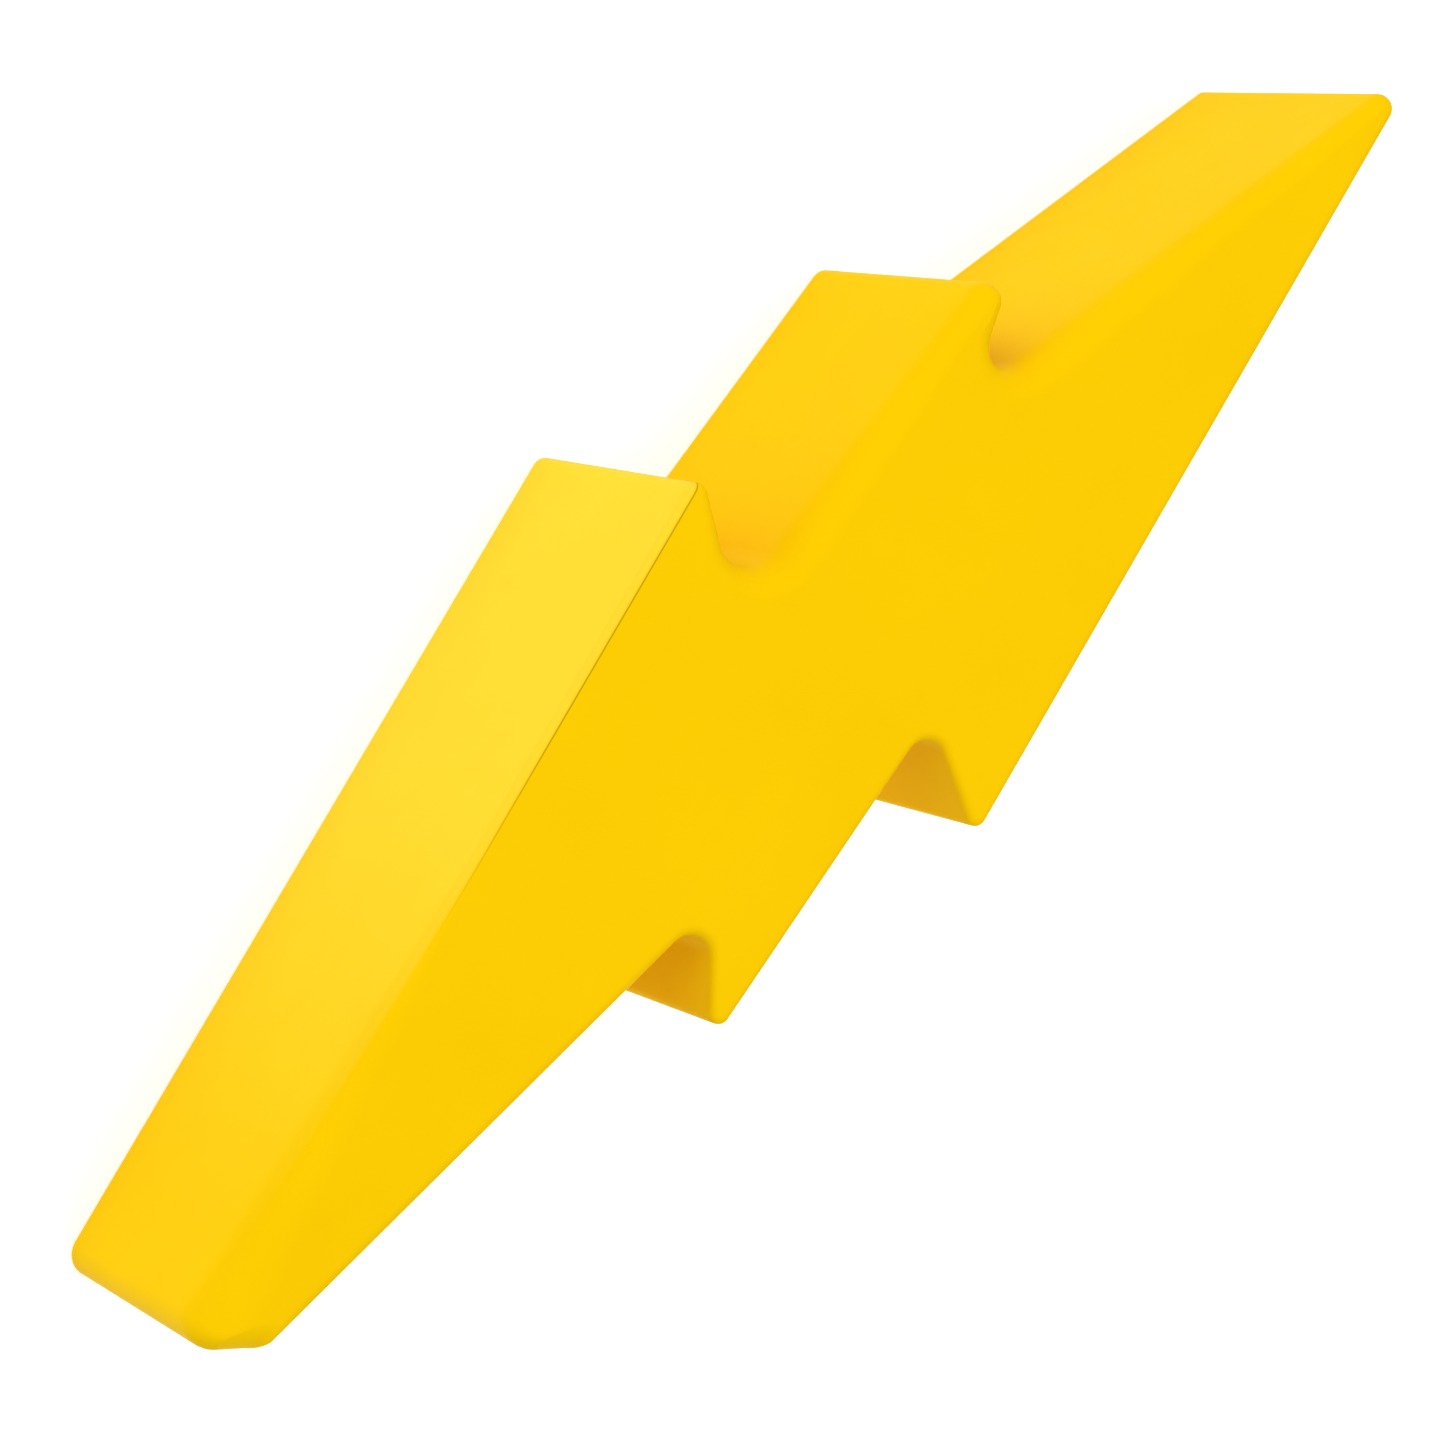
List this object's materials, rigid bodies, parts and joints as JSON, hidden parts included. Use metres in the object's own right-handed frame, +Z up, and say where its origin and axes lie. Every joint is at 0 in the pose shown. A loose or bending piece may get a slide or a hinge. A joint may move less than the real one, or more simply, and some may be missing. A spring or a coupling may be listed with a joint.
{
  "type": "parking wheel stop",
  "caption": "Low yellow parking wheel stop with a zig-zag outline: a hollow moulded shell on a recessed base plate, held down from beneath by hidden threaded sockets.",
  "frame": {"origin": "middle of the footprint, on the ground under the rubber pads", "axes": "+X along the stop towards its sharp tip, +Y towards the side that the picture shows, +Z up"},
  "size_m": [0.5498, 0.1532, 0.1],
  "materials": {
    "yellow_shell": "self-coloured polyethylene, satin moulded surface",
    "black_plate": "recycled black polyethylene, fine grain",
    "galvanised_steel": "hot-dip galvanised, dull spangle",
    "zinc_steel": "bright zinc plating",
    "brass": "turned",
    "pad_rubber": "moulded, matt"
  },
  "bodies": {
    "root": {"body_shell": "yellow_shell", "base_plate": "black_plate", "anchor_spine": "galvanised_steel", "anchor_socket_west": "galvanised_steel", "anchor_socket_east": "galvanised_steel", "pillar_inserts": "brass", "spine_bolts": "zinc_steel", "spine_washers": "zinc_steel", "base_screws": "zinc_steel", "grip_pad_1": "pad_rubber", "grip_pad_2": "pad_rubber", "grip_pad_3": "pad_rubber", "grip_pad_4": "pad_rubber", "grip_pad_5": "pad_rubber", "grip_pad_6": "pad_rubber"}
  },
  "joints": []
}
